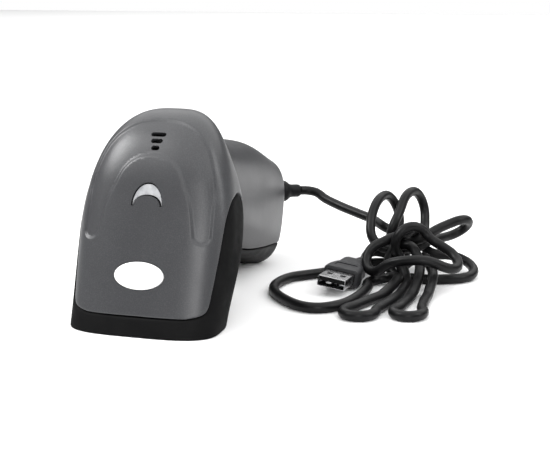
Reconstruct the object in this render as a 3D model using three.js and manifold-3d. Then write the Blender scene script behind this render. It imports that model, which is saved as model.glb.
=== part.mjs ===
// Handheld barcode scanner with a USB lead: a domed scan head, a pistol handle, a rubber nose bumper,
// a laser scan engine, a trigger with its switch, and a cord that lies tied in a loose hank.
// Millimetres. +Z is up, the head is at -Y, the handle runs to +Y. The scanner rests on its nose rim
// and on the butt of its handle, and the origin is on that surface, below the middle of the body.
import * as THREE from "three";
import { mergeVertices } from "three/addons/utils/BufferGeometryUtils.js";
import Module from "manifold-3d";

const wasm = await Module();
wasm.setup();

const DEGREE = Math.PI / 180;
const GAP = 0.3; // clearance between pieces that meet
const WALL = 2.2; // thickness of the housings

// Scan head: ribs across a spine that leans back, then bends over to the rear.
const HEAD_HALF_WIDTH = 31.1;
const NOSE_NARROWING = 1.5; // the nose is narrower than the middle by this, each side
const HEAD_HALF_DEPTH = 18.4;
const NOSE_UNDER_DEPTH = 10.4; // from the spine to the underside, at the nose
const UNDERSIDE_FULL_AT = 33.1; // spine length at which the underside is full
const HEAD_LEAN = 19.6 * DEGREE;
const SPINE_FOOT_Y = 18.4; // where the spine meets the resting surface
const SPINE_STRAIGHT = 50.6;
const SPINE_BEND = 41.4; // radius of the bent stretch
const HEAD_LENGTH = 84.6;
const SIDE_CLOSURE = 50.6; // length over which the sides close to the rear end
const DEPTH_CLOSURE = 23.9; // length over which the top and underside close
const HEAD_SQUARENESS = 3.2; // superellipse exponent of a rib

// Handle: ribs along a straight axis that falls to the rear.
const HANDLE_Y = 57;
const HANDLE_Z = 46.6;
const HANDLE_FALL = 18 * DEGREE;
const HANDLE_LENGTH = 81.9;
const HANDLE_ROOT = -16.6; // the handle starts this far inside the head
const HANDLE_HALF_WIDTH = 18.4;
const BUTT_HALF_WIDTH = 20.7;
const HANDLE_HALF_DEPTH = 20.7;
const BUTT_HALF_DEPTH = 25.8;
const BUTT_ROUND = 8.3; // radius of the butt's edge
const HANDLE_SQUARENESS = 3.2;
const HANDLE_CROWN = 3.2; // the top of the handle bulges by this, half way along

// Details of the upper housing, on the face of the head.
const BADGE_HALF_WIDTH = 10.1;
const BADGE_HALF_HEIGHT = 5.5;
const BADGE_AT = 16.4; // spine length of its centre
const CRESCENT_AT = 42.5; // spine length of its horns
const CRESCENT_WIDTH = 6.3; // half widths and heights of its outer and inner edge
const CRESCENT_HEIGHT = 9;
const CRESCENT_INNER_WIDTH = 5.2;
const CRESCENT_INNER_HEIGHT = 4;
const SLOT_WIDTHS = [3.3, 4.8, 6.1];
const SLOT_HEIGHT = 2;
const SLOT_PITCH = 2.1;
const SLOT_START = 60.9; // spine length of the lowest slot

// Trigger, in the handle's frame.
const TRIGGER_WIDTH = 12;
const TRIGGER_PIVOT_Y = 12;
const TRIGGER_PIVOT_Z = 1.4;
const TRIGGER_PIN_RADIUS = 1.5;
const PLUNGER_AT = 12.4; // along the handle, from its start

// Main board, in the handle's frame, and the screws of the board and the housings.
const BOARD_Y = 2.8;
const BOARD_SCREWS = [
  [-8.8, 25],
  [8.8, 51.5],
];
const HOUSING_SCREWS = [
  [18.9, 42.3],
  [20.7, 62.6],
];

// Pivot of the scanning mirror, in the head's frame.
const MIRROR_X = 11;
const MIRROR_Z = 33;

// Cord gland in the butt, turned to the right side as it comes out.
const GLAND_PLACE = [6.5, 137.8, 30.5];
const GLAND_TURN = 52 * DEGREE;
const GLAND_DIP = 2 * DEGREE;
const GLAND_STEM = 3.6;
const GLAND_LENGTH = 20;

// Cord and its USB plug. The shell of the plug has the standard size.
const USB_WIDTH = 12;
const USB_HEIGHT = 4.5;
const USB_LENGTH = 12;
const CORD_RADIUS = 2.15;
const CORD_SIDES = 8;
const PLUG_PLACE = [56.7, 4.4, 6]; // middle of the plug's mouth
const PLUG_PITCH = -1.5 * DEGREE;
const PLUG_ROLL = 7.8 * DEGREE;
const PLUG_YAW = -5.2 * DEGREE;
const OVERMOULD_HEIGHT = 8;
const BOOT_AT = USB_LENGTH + 21;
const BOOT_LENGTH = 9;

const paint = (color, roughness, metalness = 0) =>
  new THREE.MeshStandardMaterial({ color, roughness, metalness });

// Solids from three.js geometry, and back.
function solidOf(geometry) {
  const bare = geometry.clone();
  bare.deleteAttribute("normal");
  bare.deleteAttribute("uv");
  const merged = mergeVertices(bare, 1e-4);
  return new wasm.Manifold(
    new wasm.Mesh({
      numProp: 3,
      vertProperties: new Float32Array(merged.attributes.position.array),
      triVerts: new Uint32Array(merged.index.array),
    }),
  );
}

function geometryOf(solid) {
  const mesh = solid.getMesh();
  const geometry = new THREE.BufferGeometry();
  geometry.setAttribute("position", new THREE.BufferAttribute(mesh.vertProperties, 3));
  geometry.setIndex(new THREE.BufferAttribute(mesh.triVerts, 1));
  return geometry;
}

// The body's groups: the scanner, the head's straight frame (x, -face, along the spine), the handle's
// frame (x, towards the trigger, along the handle to the butt), and the cord.
const scanner = new THREE.Group();
const head = new THREE.Group();
head.position.set(0, SPINE_FOOT_Y, 0);
head.rotation.x = -HEAD_LEAN;
const handle = new THREE.Group();
handle.position.set(0, HANDLE_Y, HANDLE_Z);
handle.rotation.x = -(90 * DEGREE + HANDLE_FALL);
const gland = new THREE.Group(); // its z runs out along the cord
gland.position.set(...GLAND_PLACE);
gland.rotation.set(-90 * DEGREE - GLAND_DIP, 0, -GLAND_TURN, "ZXY");
scanner.add(head, handle, gland);
for (const group of [head, handle, gland]) group.updateMatrix();

function add(group, name, shape, material) {
  const geometry = shape.isBufferGeometry ? shape : geometryOf(shape);
  const mesh = new THREE.Mesh(geometry, material);
  mesh.name = name;
  group.add(mesh);
  return mesh;
}

const box = (x, y, z, cx = 0, cy = 0, cz = 0) => new THREE.BoxGeometry(x, y, z).translate(cx, cy, cz);

const rod = (radius, length, sides = 16) => new THREE.CylinderGeometry(radius, radius, length, sides);

// A solid that runs along X, from an outline in (y, z).
function acrossX(outline, width, centreX = 0) {
  const geometry = new THREE.ExtrudeGeometry(outline, {
    depth: width,
    bevelEnabled: false,
    curveSegments: 3,
  });
  const axes = new THREE.Matrix4().makeBasis(
    new THREE.Vector3(0, 1, 0),
    new THREE.Vector3(0, 0, 1),
    new THREE.Vector3(1, 0, 0),
  );
  return geometry.applyMatrix4(axes).translate(centreX - width / 2, 0, 0);
}

// A quarter-ellipse from 1 down to 0 over the last stretch of a length.
function closure(s, length, stretch) {
  const t = THREE.MathUtils.clamp((s - (length - stretch)) / stretch, 0, 1);
  return Math.sqrt(1 - t * t);
}

function superellipse(angle, exponent) {
  const c = Math.cos(angle);
  const s = Math.sin(angle);
  return [
    Math.sign(c) * Math.abs(c) ** (2 / exponent),
    Math.sign(s) * Math.abs(s) ** (2 / exponent),
  ];
}

// Point of the head's spine at length s, with its lean there.
function spineAt(s) {
  const run = Math.min(s, SPINE_STRAIGHT);
  const turn = Math.max(s - SPINE_STRAIGHT, 0) / SPINE_BEND;
  const lean = HEAD_LEAN + turn;
  return {
    lean,
    y: SPINE_FOOT_Y + run * Math.sin(HEAD_LEAN) + SPINE_BEND * (Math.cos(HEAD_LEAN) - Math.cos(lean)),
    z: run * Math.cos(HEAD_LEAN) + SPINE_BEND * (Math.sin(lean) - Math.sin(HEAD_LEAN)),
  };
}

// A head rib: inset moves the whole surface inwards.
function headPoint(s, angle, reach, inset) {
  const { lean, y, z } = spineAt(s);
  const along = Math.min(s + inset * (s > SPINE_STRAIGHT ? 1 : 0), HEAD_LENGTH - 0.02);
  const full = THREE.MathUtils.smoothstep(s, -4, UNDERSIDE_FULL_AT);
  const under = THREE.MathUtils.lerp(NOSE_UNDER_DEPTH, HEAD_HALF_DEPTH, full);
  const shut = closure(along, HEAD_LENGTH, DEPTH_CLOSURE);
  const side = HEAD_HALF_WIDTH - NOSE_NARROWING * (1 - full);
  const width = Math.max(side * closure(along, HEAD_LENGTH, SIDE_CLOSURE) - inset, 0.4);
  const top = Math.max(HEAD_HALF_DEPTH * shut - inset, 0.4);
  const bottom = -Math.max(under * shut - inset, 0.4);
  const [cx, cn] = superellipse(angle, HEAD_SQUARENESS);
  const n = (top + bottom) / 2 + (reach * cn * (top - bottom)) / 2;
  return [reach * cx * width, y - n * Math.cos(lean), z + n * Math.sin(lean)];
}

// A handle rib in the handle's frame.
function handlePoint(s, angle, reach, inset) {
  const share = THREE.MathUtils.clamp(s / HANDLE_LENGTH, 0, 1);
  const end = HANDLE_LENGTH - inset;
  const t = THREE.MathUtils.clamp((s - (end - BUTT_ROUND)) / BUTT_ROUND, 0, 1);
  const shrink = inset + BUTT_ROUND * (1 - Math.sqrt(1 - t * t));
  const width = THREE.MathUtils.lerp(HANDLE_HALF_WIDTH, BUTT_HALF_WIDTH, share) - shrink;
  const depth = THREE.MathUtils.lerp(HANDLE_HALF_DEPTH, BUTT_HALF_DEPTH, share) - shrink;
  const [cx, cy] = superellipse(angle, HANDLE_SQUARENESS);
  const crown = cy < 0 ? HANDLE_CROWN * Math.sin(Math.PI * share) ** 2 : 0;
  return [reach * cx * width, reach * cy * (depth + crown), s];
}

// A closed loft: a unit cylinder whose rings are moved to the ribs at the given lengths.
function loft(lengths, sides, pointAt) {
  const steps = lengths.length - 1;
  const geometry = new THREE.CylinderGeometry(1, 1, 1, sides, steps);
  const position = geometry.attributes.position;
  for (let i = 0; i < position.count; i++) {
    const ring = Math.round((0.5 - position.getY(i)) * steps);
    const reach = Math.hypot(position.getX(i), position.getZ(i)) > 0.5 ? 1 : 0;
    const angle = Math.atan2(position.getZ(i), position.getX(i));
    position.setXYZ(i, ...pointAt(lengths[ring], angle, reach));
  }
  return geometry;
}

const range = (count, from, to) =>
  Array.from({ length: count + 1 }, (_, i) => from + ((to - from) * i) / count);

// The full body of the scanner as one solid, moved inwards by the inset.
function body(inset) {
  const noseExtra = inset > 0 ? -16 : -12;
  const rear = HEAD_LENGTH - inset;
  const headLengths = [
    noseExtra,
    ...range(5, 0, SPINE_STRAIGHT - 12),
    ...range(8, SPINE_STRAIGHT - 4, rear - 5),
    rear - 2.5,
    rear - 0.8,
    rear,
  ];
  const headSolid = solidOf(loft(headLengths.reverse(), 40, (s, a, r) => headPoint(s, a, r, inset)));
  const butt = HANDLE_LENGTH - inset;
  const roundSteps = range(4, 0, 1).map((t) => butt - BUTT_ROUND * (1 - Math.sin(t * 90 * DEGREE)));
  const handleLengths = [...range(4, HANDLE_ROOT, butt - BUTT_ROUND - 8), ...roundSteps];
  const handleLoft = loft(handleLengths, 32, (s, a, r) => handlePoint(s, a, r, inset));
  const handleSolid = solidOf(handleLoft.applyMatrix4(handle.matrix));
  return headSolid.add(handleSolid);
}

const floorCut = solidOf(box(200, 400, 60, 0, 60, -30));
const outside = body(0).subtract(floorCut);
const inside = body(WALL);
const extent = outside.boundingBox();
scanner.position.y = -(extent.min[1] + extent.max[1]) / 2;

// Parting lines, seen from the side. A point is given by its height over the spine, towards the face
// of the head, and its length along the spine's straight part.
function beside(height, along) {
  return [
    SPINE_FOOT_Y + along * Math.sin(HEAD_LEAN) - height * Math.cos(HEAD_LEAN),
    along * Math.cos(HEAD_LEAN) + height * Math.sin(HEAD_LEAN),
  ];
}

const vectors = (points) => points.map(([a, b]) => new THREE.Vector2(a, b));

// The seam between the grey and the black: up the side of the head to the tip of the bumper's wing,
// then along the handle.
const FRONT_SEAM = [
  [3.2, 7.3],
  [7.4, 9.7],
  beside(12.6, 13),
  beside(11.6, 25),
  beside(10.3, 39.5),
  beside(7.2, 47),
  beside(2.6, 50.6),
  beside(-2, 52.2),
];
const HANDLE_SEAM = [
  [45.3, 43],
  [55.2, 34.6],
  [65.1, 26.1],
  [77.4, 18.9],
  [90.6, 14],
  [101.4, 11.8],
  [121.2, 10.1],
  [131.1, 9.4],
  [190, 6],
];
const WING_REAR = [beside(-7, 44), beside(-10.5, 26), beside(-13.8, 11), beside(-41.4, 8.3)];

const CURVE_STEPS = 6;

// A curve through points, moved to the right of its direction.
function shifted(points, distance) {
  const line = new THREE.SplineCurve(vectors(points)).getPoints(CURVE_STEPS * (points.length - 1));
  return line.map((p, i) => {
    const along = line[Math.min(i + 1, line.length - 1)].clone().sub(line[Math.max(i - 1, 0)]).normalize();
    return new THREE.Vector2(p.x + distance * along.y, p.y - distance * along.x);
  });
}

// The edge of the grey upper housing: across the nose, up the side of the head, round the bumper's
// wing and down the side of the handle.
function upperOutline(spread) {
  const line = shifted([...FRONT_SEAM, ...HANDLE_SEAM], spread);
  const start = new THREE.Vector2(-40, line[0].y);
  return new THREE.Shape([start, ...line, new THREE.Vector2(190, 140), new THREE.Vector2(-40, 140)]);
}

// The rubber bumper: a band round the nose, with a wing that tapers up each side of the head.
function bumperOutline(spread) {
  const whole = shifted([...FRONT_SEAM, ...HANDLE_SEAM], GAP - spread);
  const front = whole.slice(0, CURVE_STEPS * (FRONT_SEAM.length - 1) + 1);
  const tip = front[front.length - 1];
  const rear = shifted([[tip.x, tip.y], ...WING_REAR], -spread);
  const corners = vectors([
    [-40, -20],
    [-40, front[0].y],
  ]);
  return new THREE.Shape([...corners, ...front, ...rear, new THREE.Vector2(90, -20)]);
}

const WIDE = 120;
const sideCut = (outline) => solidOf(acrossX(outline, WIDE));
const shell = outside.subtract(inside);

const greyPlastic = paint(0x6c6d6f, 0.42, 0.25);
const blackPlastic = paint(0x1c1c1d, 0.5);
const blackRubber = paint(0x141415, 0.75);
const greyPlasticPart = paint(0x65676a, 0.5);
const whitePlastic = paint(0xf4f4f2, 0.35);
const clearPlastic = paint(0xd8dade, 0.15);
const windowRed = paint(0x5a1216, 0.1);
const steel = paint(0xb9bcc0, 0.3, 0.9);
const brass = paint(0xb08a45, 0.35, 0.9);
const magnesium = paint(0x8e9195, 0.55, 0.6);
const boardGreen = paint(0x1d5a38, 0.5);
const copper = paint(0xa85a32, 0.4, 0.8);
const mirrorGlass = paint(0xdfe5ea, 0.05, 0.9);

// A group of its own for what sits flush in the bent part of the head: z runs along the spine.
function spineGroup(s) {
  const { lean, y, z } = spineAt(s);
  const group = new THREE.Group();
  group.position.set(0, y, z);
  group.rotation.x = -lean;
  scanner.add(group);
  group.updateMatrix();
  return group;
}

const inGroup = (geometry, group) => solidOf(geometry.applyMatrix4(group.matrix));

// A plate whose outline is in (x, along the spine), from a height over the spine up by its thickness.
function facePlate(outline, height, thickness) {
  const geometry = new THREE.ExtrudeGeometry(outline, {
    depth: thickness,
    bevelEnabled: false,
    curveSegments: 12,
  });
  return geometry.rotateX(90 * DEGREE).translate(0, -height, 0);
}

function ovalOutline(halfWidth, halfHeight, at) {
  const shape = new THREE.Shape();
  shape.absellipse(0, at, halfWidth, halfHeight, 0, 2 * Math.PI);
  return shape;
}

function slotOutline(width, height, at) {
  const r = height / 2;
  const reach = width / 2 - r;
  const shape = new THREE.Shape();
  shape.absarc(reach, at, r, -90 * DEGREE, 90 * DEGREE);
  shape.absarc(-reach, at, r, 90 * DEGREE, 270 * DEGREE);
  return shape;
}

// Crescent with its horns towards the nose, between two half-ellipses, drawn smaller by the trim.
function crescentOutline(trim) {
  const base = CRESCENT_AT + trim;
  const shape = new THREE.Shape();
  shape.absellipse(0, base, CRESCENT_WIDTH - trim, CRESCENT_HEIGHT - 2 * trim, 0, Math.PI);
  shape.absellipse(0, base, CRESCENT_INNER_WIDTH + trim, CRESCENT_INNER_HEIGHT, Math.PI, 0, true);
  return shape;
}

function buildHousings() {
  const slots = SLOT_WIDTHS.map((width, i) => {
    const group = spineGroup(SLOT_START + i * SLOT_PITCH);
    return inGroup(facePlate(slotOutline(width, SLOT_HEIGHT, 0), 12, 14), group);
  });
  const recess = inGroup(
    facePlate(ovalOutline(BADGE_HALF_WIDTH, BADGE_HALF_HEIGHT, BADGE_AT), HEAD_HALF_DEPTH - 0.8, 6),
    head,
  );
  const crescent = inGroup(facePlate(crescentOutline(0), HEAD_HALF_DEPTH - 5, 10), head);
  let upper = shell.intersect(sideCut(upperOutline(0))).subtract(recess).subtract(crescent);
  for (const slot of slots) upper = upper.subtract(slot);
  const triggerWay = inGroup(box(TRIGGER_WIDTH + 0.8, 15, 30.4, 0, 18.4, 18.9), handle);
  upper = upper.subtract(triggerWay);
  upper = upper.subtract(inGroup(rod(GLAND_STEM + GAP, 24).rotateX(90 * DEGREE), gland));
  add(scanner, "upper_housing", upper, greyPlastic);

  const bumper = shell.intersect(sideCut(bumperOutline(0))).subtract(sideCut(upperOutline(GAP)));
  add(scanner, "nose_bumper", bumper, blackRubber);

  let lower = shell.subtract(sideCut(upperOutline(GAP))).subtract(sideCut(bumperOutline(GAP)));
  lower = lower.subtract(triggerWay);
  for (const [y, z] of HOUSING_SCREWS) {
    const boss = inGroup(rod(4, 9, 20).translate(0, y - 1, z), handle).intersect(outside);
    const well = rod(2.6, 14, 20).translate(0, y + 4.9, z);
    const bore = rod(1.6, 30).translate(0, y, z);
    lower = lower.add(boss).subtract(inGroup(well, handle)).subtract(inGroup(bore, handle));
  }
  add(scanner, "lower_housing", lower, blackPlastic);
}

function screw(headRadius, headHeight, radius, length) {
  const profile = [
    [0, 0],
    [headRadius, 0],
    [headRadius, -headHeight],
    [radius, -headHeight],
    [radius, -length],
    [0, -length],
  ];
  return new THREE.LatheGeometry(vectors(profile.reverse()), 14);
}

function buildFace() {
  const badge = facePlate(
    ovalOutline(BADGE_HALF_WIDTH - GAP, BADGE_HALF_HEIGHT - GAP, BADGE_AT),
    HEAD_HALF_DEPTH - 0.5,
    0.7,
  );
  add(head, "badge", badge, whitePlastic);
  const lens = facePlate(crescentOutline(GAP), HEAD_HALF_DEPTH - 3.6, 3);
  add(head, "indicator_lens", lens, clearPlastic);
  add(head, "indicator_led", box(3.2, 1.6, 1.6, 0, -HEAD_HALF_DEPTH + 5.6, CRESCENT_AT + 7), whitePlastic);
  const sounder = new THREE.LatheGeometry(
    vectors([
      [0, 0],
      [6, 0],
      [6, 6.4],
      [1.4, 6.4],
      [1.4, 5.4],
      [0, 5.4],
    ]),
    24,
  );
  const group = spineGroup(SLOT_START + SLOT_PITCH);
  add(group, "beeper", sounder.rotateX(-90 * DEGREE).rotateX(180 * DEGREE).translate(0, -8, 0), blackPlastic);
}

// Scan window and its frame, across the nose.
function roundedPlate(halfWidth, low, high, corner, hole) {
  const outline = (inset) => {
    const w = halfWidth - inset;
    const a = low + inset;
    const b = high - inset;
    const r = Math.max(corner - inset * 0.5, 1);
    const shape = new THREE.Shape();
    shape.absarc(w - r, b - r, r, 0, 90 * DEGREE);
    shape.absarc(-w + r, b - r, r, 90 * DEGREE, 180 * DEGREE);
    shape.absarc(-w + r, a + r, r, 180 * DEGREE, 270 * DEGREE);
    shape.absarc(w - r, a + r, r, 270 * DEGREE, 360 * DEGREE);
    return shape;
  };
  const shape = outline(0);
  if (hole) shape.holes.push(new THREE.Path(outline(hole).getPoints(5)));
  return shape;
}

function buildWindow() {
  const plate = (shape, z, thickness) =>
    new THREE.ExtrudeGeometry(shape, { depth: thickness, bevelEnabled: false, curveSegments: 5 })
      .scale(1, -1, 1)
      .translate(0, 0, z);
  add(head, "window_frame", flipped(plate(roundedPlate(25.2, -6.6, 13.6, 6.4, 2.4), 7.7, 2)), blackPlastic);
  add(head, "scan_window", flipped(plate(roundedPlate(22.4, -3.9, 10.9, 4.6), 8.1, 1.2)), windowRed);
}

// Faces turned round, after a mirroring.
function flipped(geometry) {
  const solid = geometry.index ? geometry.toNonIndexed() : geometry;
  const p = solid.attributes.position.array;
  for (let i = 0; i < p.length; i += 9) {
    for (let k = 0; k < 3; k++) [p[i + 3 + k], p[i + 6 + k]] = [p[i + 6 + k], p[i + 3 + k]];
  }
  return solid;
}

// The laser scan engine, in the head's straight frame.
function buildEngine() {
  const tray = new THREE.Shape(
    vectors([
      [-19.5, -8.3],
      [19.5, -8.3],
      [19.5, 10],
      [17.9, 10],
      [17.9, -6.7],
      [-17.9, -6.7],
      [-17.9, 10],
      [-19.5, 10],
    ]),
  );
  const trayBody = flipped(
    new THREE.ExtrudeGeometry(tray, { depth: 31, bevelEnabled: false }).scale(1, -1, 1).translate(0, 0, 13),
  );
  add(head, "engine_chassis", trayBody, magnesium);
  const laser = new THREE.LatheGeometry(
    vectors([
      [0, 0],
      [4, 0],
      [4, 8],
      [3, 8],
      [3, 11],
      [1.2, 11],
      [1.2, 9.5],
      [0, 9.5],
    ]),
    20,
  );
  add(head, "laser_module", laser.rotateX(90 * DEGREE).translate(12.8, 1.4, 15.4), brass);
  const collector = box(20, 12, 1.6).rotateX(24 * DEGREE);
  add(head, "collection_mirror", collector.translate(-4.6, -0.9, 39.2), mirrorGlass);
  const board = box(22, 11, 1.2, -2.8, -0.5, 15.2);
  add(head, "photodiode_board", board, boardGreen);
  add(head, "photodiode", box(4, 4, 1.4, -2.8, -0.5, 16.8), blackPlastic);
}

// The oscillating mirror, with its magnet, on a post in front of the drive coil.
function buildMirror() {
  const turn = -40 * DEGREE;
  const mirror = new THREE.Group();
  mirror.position.set(MIRROR_X, 0, MIRROR_Z);
  mirror.rotation.y = turn;
  head.add(mirror);
  add(mirror, "scan_mirror", box(9, 8, 1, 0, 0.5, -0.5), mirrorGlass);
  add(mirror, "mirror_magnet", box(4, 4, 1.8, 0, 0.5, 1.2), steel);
  const coil = new THREE.LatheGeometry(
    vectors([
      [1.6, 0],
      [4, 0],
      [4, 3],
      [1.6, 3],
      [1.6, 0],
    ]),
    20,
  );
  add(mirror, "drive_coil", coil.rotateX(90 * DEGREE).translate(0, 0.5, 3.2), copper);
}

// The main board in the handle, with the trigger switch and the cord's connector.
function buildBoard() {
  const board = solidOf(box(23, 1.6, 57, 0, BOARD_Y, 34));
  const holes = BOARD_SCREWS.map(([x, z]) => solidOf(rod(1.5, 4).translate(x, BOARD_Y, z)));
  add(handle, "main_board", board.subtract(holes[0]).subtract(holes[1]), boardGreen);
  BOARD_SCREWS.forEach(([x, z], i) => {
    const fastener = screw(2.4, 1.6, 1.15, 7).translate(x, BOARD_Y + 2.8, z);
    add(handle, "board_screw_" + (i + 1), fastener, steel);
  });
  add(handle, "decoder_chip", box(10, 1.4, 10, 0, BOARD_Y - 1.8, 40), blackPlastic);
  const keyBore = rod(1.9, 2.4).translate(0, BOARD_Y + 4, PLUNGER_AT);
  const keyBody = solidOf(box(6, 3.2, 6, 0, BOARD_Y + 2.7, PLUNGER_AT)).subtract(solidOf(keyBore));
  add(handle, "switch_body", keyBody, blackPlastic);
  add(handle, "switch_plunger", rod(1.6, 2.7).translate(0, BOARD_Y + 5.95, PLUNGER_AT), whitePlastic);
  add(handle, "cable_connector", box(12, 5, 7, 0, BOARD_Y + 3.6, 57), whitePlastic);
}

// The trigger lever, its pin and its return spring.
function buildTrigger() {
  const lever = new THREE.Group();
  lever.position.set(0, TRIGGER_PIVOT_Y, TRIGGER_PIVOT_Z);
  handle.add(lever);
  const side = new THREE.Shape();
  side.moveTo(2.4, 3.1);
  side.lineTo(8.1, 4.2);
  side.bezierCurveTo(11.6, 6, 12, 9.2, 9.8, 13.8);
  side.bezierCurveTo(8.3, 17.9, 9.8, 23, 11.6, 28.5);
  side.quadraticCurveTo(11, 31.3, 7.5, 30.9);
  side.lineTo(5.2, 30.4);
  side.lineTo(4, 16.6);
  side.lineTo(-1.5, 12.8);
  side.lineTo(-1.5, 9.4);
  side.lineTo(-2.4, 3.1);
  const boss = rod(3.4, TRIGGER_WIDTH, 20).rotateZ(90 * DEGREE);
  const bore = rod(TRIGGER_PIN_RADIUS + 0.35, 40, 20).rotateZ(90 * DEGREE);
  const springRoom = box(5, 13, 10, 0, -2, 1.4);
  const body = solidOf(acrossX(side, TRIGGER_WIDTH)).add(solidOf(boss));
  add(lever, "trigger", body.subtract(solidOf(bore)).subtract(solidOf(springRoom)), greyPlasticPart);
  add(lever, "trigger_pin", rod(TRIGGER_PIN_RADIUS, 20, 16).rotateZ(90 * DEGREE), steel);
  add(lever, "trigger_spring", torsionSpring(), steel);
}

// A torsion spring round the pin, with a leg to each side.
function torsionSpring() {
  const radius = 2.45;
  const points = [new THREE.Vector3(-1.6, -9, 2.45)];
  for (let i = 0; i <= 36; i++) {
    const angle = 90 * DEGREE + (i / 36) * 3 * 2 * Math.PI;
    points.push(
      new THREE.Vector3(-1.6 + (i / 36) * 3.2, radius * Math.cos(angle), radius * Math.sin(angle)),
    );
  }
  points.push(new THREE.Vector3(1.6, 3, 2.45));
  const wire = new THREE.Shape();
  wire.absarc(0, 0, 0.32, 0, 2 * Math.PI);
  return new THREE.ExtrudeGeometry(wire, {
    steps: 90,
    bevelEnabled: false,
    curveSegments: 3,
    extrudePath: new THREE.CatmullRomCurve3(points),
  });
}

function buildScrews() {
  HOUSING_SCREWS.forEach(([y, z], i) => {
    add(handle, "housing_screw_" + (i + 1), screw(2.3, 1.8, 1.3, 12.5).translate(0, y, z), steel);
  });
}

// The rubber gland: a stem through the wall, and a bell outside it that tapers to the cord.
function buildGland() {
  const bell = new THREE.LatheGeometry(
    vectors([
      [0, -9],
      [5.4, -9],
      [5.4, 9.5],
      [5.1, 11.6],
      [4.2, 13.6],
      [3.2, 15],
      [2.9, 17],
      [2.7, GLAND_LENGTH],
      [0, GLAND_LENGTH],
    ]),
    20,
  );
  const outer = inGroup(bell.rotateX(90 * DEGREE), gland).subtract(body(-GAP));
  const stem = rod(GLAND_STEM, 14, 20).rotateX(90 * DEGREE).translate(0, 0, 2);
  add(scanner, "cable_gland", outer.add(inGroup(stem, gland)), blackRubber);
}

// The cord lies tied in a hank of loose loops. Its free stretches are tubes: the lead from the gland,
// the loop that lies round the plug, and the tail to the plug.
const cord = new THREE.Group();

const LEAD_ROUTE = [
  [22.6, 80.6, 29.8],
  [25.8, 83, 29.5],
  [31, 82.8, 28.7],
  [37, 80.2, 27.4],
  [43.5, 76.7, 25.8],
  [50.6, 73, 24.4],
  [56, 70, 23.4],
  [60.4, 67.4, 22.7],
];

const LOOP_ROUTE = [
  [69.4, 24.4, 2.4],
  [69.8, 14, 2.2],
  [69, 2, 2.2],
  [66.2, -10.4, 2.2],
  [62, -17, 2.2],
  [56.5, -20.4, 2.2],
  [49.5, -19, 2.2],
  [41, -11.5, 2.2],
  [34.8, -3, 2.2],
  [31.9, 5, 2.2],
  [31.6, 14, 2.2],
  [34.4, 23.4, 2.2],
  [40.5, 30, 2.2],
  [46.6, 36, 2.2],
  [51, 43.6, 2.2],
  [55, 51.4, 2.2],
  [61, 57.6, 2.2],
];

const TAIL_ROUTE = [
  [60.4, 46.9, 4.9],
  [60.8, 50.4, 5.5],
  [61.3, 53.4, 7.3],
  [62, 55.6, 9],
  [63, 57.6, 10.2],
];

const HANK_BODY = [
  [74.4, 27],
  [86, 14],
  [100, 18],
  [108, 30],
  [112.4, 48],
  [111, 62],
  [104, 71],
  [92, 76],
  [78, 76],
  [67, 73],
  [61.9, 68],
  [65, 60.5],
  [68, 53],
  [71.5, 45],
  [73.4, 36],
];

const HANK_FRONT = [
  [77.5, 30],
  [76.4, 16],
  [74.4, 4],
  [71, -8],
  [69, -18],
  [68.6, -27],
  [71, -32],
  [76, -32.5],
  [81, -27],
  [84.5, -14],
  [87, -22],
  [89, -27],
  [93, -27.5],
  [96.5, -22],
  [98, -8],
  [99, 8],
  [99, 30],
];
const HANK_HEIGHT = 38;
const HANK_FRONT_HEIGHT = 9;

function tube(route, steps) {
  const section = new THREE.Shape();
  section.absarc(0, 0, CORD_RADIUS, 0, 2 * Math.PI);
  return new THREE.ExtrudeGeometry(section, {
    steps,
    bevelEnabled: false,
    curveSegments: CORD_SIDES,
    extrudePath: new THREE.CatmullRomCurve3(route.map((p) => new THREE.Vector3(...p))),
  });
}

function slab(points, height, perPoint) {
  const outline = new THREE.Shape();
  const [first, ...rest] = vectors(points);
  outline.moveTo(first.x, first.y);
  outline.splineThru([...rest, first]);
  return new THREE.ExtrudeGeometry(outline, {
    depth: height,
    bevelEnabled: false,
    curveSegments: perPoint,
  });
}

function buildCord() {
  add(cord, "cable_lead", tube(LEAD_ROUTE, 10), blackRubber);
  add(cord, "cable_loop", tube(LOOP_ROUTE, 32), blackRubber);
  add(cord, "cable_tail", tube(TAIL_ROUTE, 4), blackRubber);
  const front = solidOf(slab(HANK_FRONT, HANK_FRONT_HEIGHT, 2));
  add(cord, "cable_hank", solidOf(slab(HANK_BODY, HANK_HEIGHT, 3)).add(front), blackRubber);
}

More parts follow.
